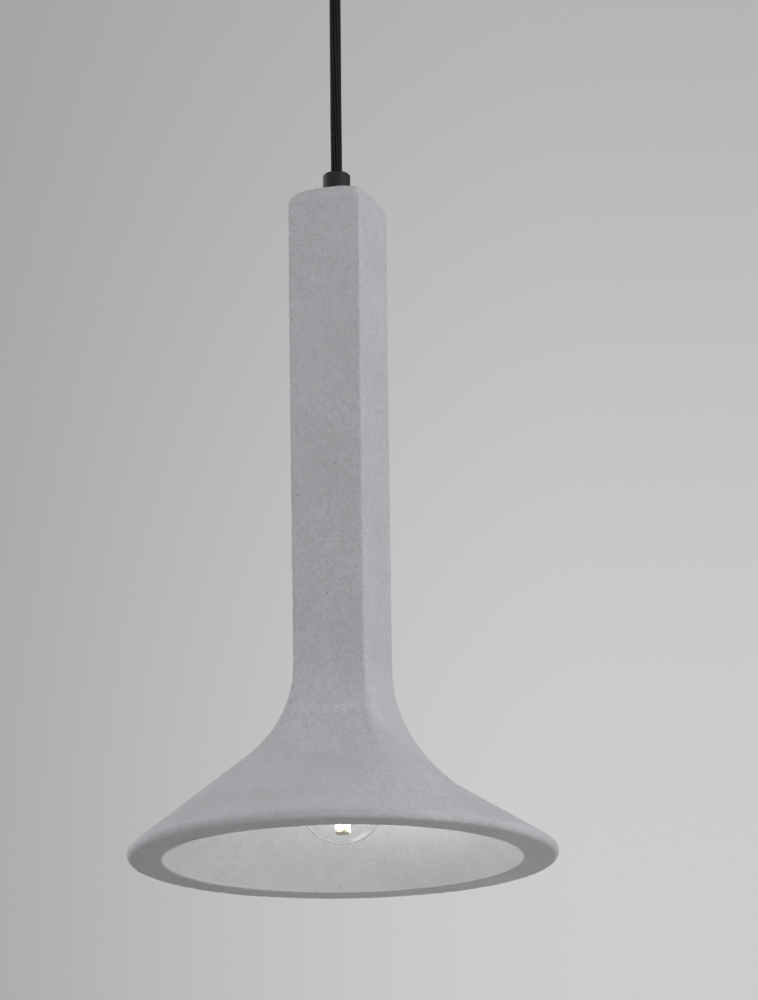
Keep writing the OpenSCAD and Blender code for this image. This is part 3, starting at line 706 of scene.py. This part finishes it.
def make_shade():
    rows = stem_rows() + flare_rows() + inside_rows()
    points = np.stack([section(face, edge, z) for face, edge, z, _ in rows])
    kinds = np.array([kind for *_, kind in rows])[:, None]
    reach = np.hypot(points[..., 0], points[..., 1])
    # A patch at the front of the rim: dented in, and painted darker as shade through a mesh
    # attribute.
    patch_level = rim_front_patch(points, reach, kinds)
    depth = relief(points, reach, kinds)
    points = points + surface_normals(points) * (depth - SINK)[..., None]
    points[..., :2] *= (1 - RIM_PATCH_IN * patch_level / reach)[..., None]
    points = np.where(kinds[..., None] == OUTSIDE, hand_set(points), points) * MM
    points[..., 2] += RIM_Z
    shade = grid_mesh("concrete_cast", points, ["concrete", "concrete_inside"], close_rings=True,
                      regions=np.minimum(kinds[:, 0], 1), marks=("rim_front_shade", patch_level))
    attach(shade, "shade")
    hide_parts("concrete_shade")


make_shade()


# ---------------------------------------------------------------- textile cord

CORD_R = 3.08 * MM
TAIL_Z = -0.014           # where the cord's jacket ends, in the canopy
SWING_Z = -0.038          # where the cord swings, in the canopy grip
CORD_END_Z = RIM_Z + 0.3646
RING_STEP = 0.3 * MM
RIBS, POINTS_PER_RIB, STITCH = 12, 10, 1.1 * MM
RIB_TWIST = 9.0           # radians a metre
WANDER, WANDER_RATE, WANDER_START = 0.05, 61, 0.4   # of the ribs from side to side, in radians
CORES, CORE_LAY = 3, 2.2  # the cores under the sleeve, and their twist against the ribs'
GROOVE, RIB_HEIGHT, CORE_HEIGHT = 0.94, 0.048, 0.012    # shares of the cord's radius


def sleeve(line):
    """Rings and crown marks of a knitted sleeve: upright ribs of small V stitches."""
    around = RIBS * POINTS_PER_RIB
    along = lengths_along(line)[:, None]
    angle = angles(around)[None, :]
    drift = RIB_TWIST * along + WANDER * np.sin(along * WANDER_RATE + WANDER_START)
    phase = (RIBS * (angle + drift) / math.tau) % 1.0 - 0.5
    rib = np.cos(math.pi * phase) ** 0.8
    stitch = 0.5 + 0.5 * np.cos(math.tau * (along / STITCH - 1.1 * np.abs(phase)))
    cores = np.cos(CORES * (angle + CORE_LAY * drift))
    height = 0.7 * rib + 0.3 * stitch * rib
    radius = CORD_R * (GROOVE + RIB_HEIGHT * height + CORE_HEIGHT * cores)
    return tube(line, radius, around), height


def straight(top, low, step):
    """Points down the lamp's axis, about step apart."""
    count = int(round((top - low) / step)) + 1
    return np.stack([np.zeros(count), np.zeros(count), np.linspace(top, low, count)], axis=-1)


def make_cord():
    rings, crown = sleeve(straight(SWING_Z, CORD_END_Z, RING_STEP))
    dome = [rings[0] * [math.cos(a), math.cos(a), 1] + [0, 0, CORD_R * math.sin(a)]
            for a in np.radians([78, 52, 26])]
    crown = np.vstack([np.repeat(crown[:1], len(dome), axis=0), crown])
    hanging = grid_mesh("hanging_cord", np.vstack([np.array(dome), rings]), ["black_cord"],
                        caps=True, marks=("crown", crown))
    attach(hanging, "cord")
    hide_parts("cord_neck", "cord")

    rings, crown = sleeve(straight(TAIL_Z, SWING_Z, RING_STEP))
    tail = grid_mesh("cord_end_sleeve", rings, ["black_cord"], caps=True, marks=("crown", crown))
    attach(tail, "root")
    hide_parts("cord_tail")


make_cord()


# ---------------------------------------------------------------- wires

CORE_R, LINK_R = 1.0 * MM, 0.7 * MM
COPPER_SHARE = 0.6        # of a core's radius
STRIPE_SHARE, STRIPE_TURN = 0.36, 9 * MM   # of the way round, and length of one turn

# in millimetres, in the row frame
UPPER_ROUTES = {
    "live": [(1, -1.6, -13.7), (1.2, -2.2, -11.5), (2.5, -4.5, -9.6), (5.5, -7.6, -9),
             (9, -9, -9), (12, -9, -9)],
    "neutral": [(1, 1.6, -13.7), (1.2, 2.2, -11.5), (2.5, 4.5, -9.6), (5.5, 7.6, -9),
                (9, 9, -9), (12, 9, -9)],
    "earth": [(-1.8, 0, -13.7), (-1.8, 0, -11), (-0.6, 0, -7.8), (3, 0, -7), (8, 0, -8.8),
              (12, 0, -9)],
}
EARTH_LINK = [(24, 0, -9), (27, 0, -9), (29.6, 0.9, -8.4), (31.4, 2.6, -6.4), (32.4, 4.2, -4.6),
              (32.7, 5.2, -3.8), (32.9, 6.2, -3.62), (33, 7.8, -3.6)]
# in millimetres from the axis and above the rim
LOWER_ROUTE = [(6, 90.2), (6, 92.5), (5, 95.2), (3, 97.5), (2.1, 100), (2, 106), (2, 160),
               (2, 220), (2, 290), (2, 363)]
SLEEVES = {"live": "brown_sleeve", "neutral": "blue_sleeve", "earth": "earth_sleeve"}


def wire(name, route, radius, body, slot, node, bare):
    """A sleeved core along route, with its copper showing for the bare lengths at its ends."""
    line = curve_points(np.array(route) * MM, 12)
    along = lengths_along(line)
    keep = (along >= bare[0]) & (along <= along[-1] - bare[1])
    around = 20
    turn = np.linspace(0, 1, around, endpoint=False)[None, :]
    stripe = (turn + along[keep][:, None] / STRIPE_TURN) % 1.0 < STRIPE_SHARE
    core = grid_mesh(name, tube(line[keep], radius, around), [slot], caps=True,
                     marks=("stripe", stripe))
    copper = grid_mesh(name + "_copper", tube(line, radius * COPPER_SHARE, 12), ["copper"],
                       caps=True)
    for piece in (core, copper):
        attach(piece, body)
    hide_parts(node)


for number, (pole, slot) in enumerate(SLEEVES.items()):
    wire(pole + "_core_above", UPPER_ROUTES[pole], CORE_R, "root", slot, pole + "_wire_upper",
         (0.0, 3.5 * MM))
    turn = math.radians(120 * number)
    below = [(r * math.cos(turn), r * math.sin(turn), h + RIM_Z / MM) for r, h in LOWER_ROUTE]
    wire(pole + "_core_below", below, CORE_R, "shade", slot, pole + "_wire_lower",
         (2.5 * MM, 0.0))
wire("earth_link_core", EARTH_LINK, LINK_R, "root", "earth_sleeve", "earth_link",
     (3 * MM, 3 * MM))


# ---------------------------------------------------------------- bulb

GLOBE_R, GLOBE_H, GLASS = 22.5, 31.0, 0.45
NECK_R, NECK_H = 8.2, 58.0
NECK_FROM = 42            # degrees up the globe, where the neck's curve begins
NECK_PULLS = (5.2, 5.5)   # how far its ends hold their directions
THREAD_H, PITCH, TURNS, ROOT_R, CREST_R = 60, 2.822, 6, 6.45, 6.95
STEPS_PER_TURN, RUN_OUT = 12, 8     # rings in a turn, and in each end of the thread as it fades


def turned(name, radius, height, slot, **options):
    """A piece turned round the lamp's axis from radii and heights, shape (rings, around)."""
    angle = angles(radius.shape[1])
    points = np.stack([radius * np.cos(angle), radius * np.sin(angle), height], axis=-1) * MM
    points[..., 2] += RIM_Z
    return grid_mesh(name, points, [slot], **options)


def globe_outline(inset):
    """(radius, height) from the bottom of the globe up to the end of its neck."""
    r, a = GLOBE_R - inset, math.radians(NECK_FROM)
    rows = [(r * math.cos(t), GLOBE_H + r * math.sin(t))
            for t in np.radians(np.linspace(-89, NECK_FROM, 60))]
    p0, p3 = np.array(rows[-1]), np.array([NECK_R - inset, NECK_H])
    p1 = p0 + NECK_PULLS[0] * np.array([-math.sin(a), math.cos(a)])
    p2 = p3 - [0, NECK_PULLS[1]]
    for t in np.linspace(0, 1, 18)[1:]:
        s = 1 - t
        rows.append(tuple(s**3 * p0 + 3 * t * s**2 * p1 + 3 * t * t * s * p2 + t**3 * p3))
    return rows


def make_globe():
    outline = np.array(globe_outline(0) + globe_outline(GLASS)[::-1])
    radius, height = (np.repeat(outline[:, k : k + 1], 128, axis=1) for k in (0, 1))
    globe = turned("glass_globe", radius, height, "clear_glass", caps=True)
    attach(globe, "bulb")
    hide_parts("bulb_globe")


def make_screw_cap():
    around = 96
    top = THREAD_H + PITCH * TURNS
    skirt = [(8.3, 57.0), (8.7, 57.0), (8.72, 58.0), (7.4, 59.2)]
    back = [(6.3, top + 0.3), (5.75, top + 0.7), (5.72, top), (6.0, top - 0.4), (6.05, 61),
            (7.2, 59.6), (8.25, 58.2)]
    thread = []
    last = TURNS * STEPS_PER_TURN
    for k in range(last + 1):
        z = THREAD_H + PITCH * k / STEPS_PER_TURN
        lift = (z - THREAD_H) / PITCH - angles(around) / math.tau
        fade = min(1.0, k / RUN_OUT, (last - k) / RUN_OUT)
        wave = 0.5 + 0.5 * np.cos(math.tau * lift)
        thread.append((ROOT_R + (CREST_R - ROOT_R) * fade * wave**0.7, z))
    outline = skirt + thread + back
    radius = np.array([np.broadcast_to(r, around) for r, _ in outline])
    height = np.array([np.full(around, z) for _, z in outline])
    cap = turned("screw_cap", radius, height, "nickel", close_rings=True)
    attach(cap, "bulb")
    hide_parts("bulb_cap")


make_globe()
make_screw_cap()


# ---------------------------------------------------------------- side screws of the canopy

SCREW_X, SCREW_Z = 55.0, -9.0              # of the heads' undersides, in the row frame
KNURLS, KNURL_DEPTH = 24, 0.035            # the depth is a share of the radius

# (radius, out from the head's underside, knurled)
SCREW_SHANK = [(1.95 - 0.12 * (k % 2), -4.5 + 0.25 * k, False) for k in range(18)]
SCREW_HEAD = [(1.95, 0.0, False), (3.5, 0.0, False), (4.0, 0.35, True), (4.0, 2.3, True),
              (3.6, 2.8, True), (3.2, 3.0, False), (2.2, 3.0, False), (1.9, 2.75, False)]


def make_thumb_screws():
    angle = angles(144)
    knurl = 1 - KNURL_DEPTH * (0.5 + 0.5 * np.cos(KNURLS * angle))
    rows = SCREW_SHANK + SCREW_HEAD
    for name, side in (("thumb_screw_right", 1), ("thumb_screw_left", -1)):
        points = np.empty((len(rows), len(angle), 3))
        for ring, (r, out, knurled) in zip(points, rows):
            radius = r * (knurl if knurled else 1.0)
            ring[:, 0] = side * (SCREW_X + out)
            ring[:, 1] = radius * np.cos(angle)
            ring[:, 2] = radius * np.sin(angle) + SCREW_Z
        screw = grid_mesh(name, points * MM, ["black_metal"], caps=True)
        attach(screw, "root")
        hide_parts("canopy_side_screws")


make_thumb_screws()


# ---------------------------------------------------------------- stage and light

FLOOR_HALF, FLOOR_Z = 30.0, -4.2
# the backdrop's tones in the picture's (upper, lower) part
TONES_LEFT, TONES_RIGHT = (0.3263, 0.30), (0.4303, 0.6111)
# where they begin and end across and down the picture, as a sine from its middle
ACROSS, DOWN = (-0.2036, 0.0551), (-0.2051, 0.098)

AIM = Vector((0, 0, -0.35))
WARM = (1.0, 0.94, 0.8)
# name, place, size, power, colour
AREA_LIGHTS = (
    ("key", (3.0, -1.0, -0.1), 1.8, 55, WHITE),
    ("fill", (-1.6, -3.2, -0.4), 2.2, 24, WHITE),
    ("side", (-3.0, 0.4, 0.3), 2.0, 44, WHITE),
    ("top", (0.3, -0.6, 2.6), 1.6, 12, WHITE),
    ("low", (0.2, -0.05, -0.82), 0.2, 0.09, WARM),
    ("low_back", (0.02, 0.3, -0.72), 0.15, 0.14, WARM),
)
BULB_POWER, BULB_COLOUR, BULB_SOFTNESS = 0.073, (0.97, 0.98, 1.0), 0.006
BULB_PLACE = (0.0042, 0.0016, RIM_Z + 0.015)    # to the side, as the bulb in the picture


def make_stage():
    mesh = bpy.data.meshes.new("floor")
    corners = [(x * FLOOR_HALF, y * FLOOR_HALF, FLOOR_Z)
               for x, y in ((-1, -1), (1, -1), (1, 1), (-1, 1))]
    mesh.from_pydata(corners, [], [(0, 1, 2, 3)])
    mesh.materials.append(plain("floor_paint", (0.62, 0.62, 0.62), (0.66, 0.66, 0.66),
                                (0.8, 0.9), 0.01, 0.0002))
    new_object("floor", mesh)


def make_world():
    """A pale backdrop, lighter to the right of the main view and below, between four tones."""
    world = bpy.data.worlds.new("studio")
    bpy.context.scene.world = world
    world.use_nodes = True
    tree = world.node_tree
    add, join = node_adder(tree), tree.links.new
    coords = add("TexCoord")

    def along(direction, low, high):
        dot = add("VectorMath", operation="DOT_PRODUCT")
        join(coords.outputs["Generated"], dot.inputs[0])
        dot.inputs[1].default_value = direction
        shift = add("MapRange", interpolation_type="SMOOTHSTEP", From_Min=low, From_Max=high)
        join(dot.outputs["Value"], shift.inputs["Value"])
        return shift.outputs["Result"]

    def between(factor, a, b):
        mix = add("Mix")
        join(factor, mix.inputs["Factor"])
        for socket, value in ((mix.inputs["A"], a), (mix.inputs["B"], b)):
            if isinstance(value, float):
                socket.default_value = value
            else:
                join(value, socket)
        return mix.outputs["Result"]

    down = along(-VIEW_UP, *DOWN)
    tone = between(along(VIEW_RIGHT, *ACROSS), between(down, *TONES_LEFT),
                   between(down, *TONES_RIGHT))
    join(tone, tree.nodes["Background"].inputs["Color"])


def make_area_light(name, place, size, power, colour):
    data = bpy.data.lights.new(name, "AREA")
    data.shape = "SQUARE"
    data.size = size
    data.energy = power
    data.color = colour
    light = new_object(name, data)
    light.location = place
    light.rotation_mode = "QUATERNION"
    light.rotation_quaternion = (AIM - Vector(place)).to_track_quat("-Z", "Y")
    light.visible_camera = False


def make_bulb_light():
    """What the filaments shed on the bell's inside. The glass and the camera don't show it."""
    data = bpy.data.lights.new("bulb_light", "POINT")
    data.energy = BULB_POWER
    data.color = BULB_COLOUR
    data.shadow_soft_size = BULB_SOFTNESS
    lamp = new_object("bulb_light", data)
    lamp.visible_camera = lamp.visible_transmission = lamp.visible_glossy = False
    lamp.parent = frame["bodies"]["bulb"]
    lamp.location = BULB_PLACE


make_stage()
make_world()
for row in AREA_LIGHTS:
    make_area_light(*row)
make_bulb_light()
bpy.context.scene.view_settings.view_transform = "Standard"
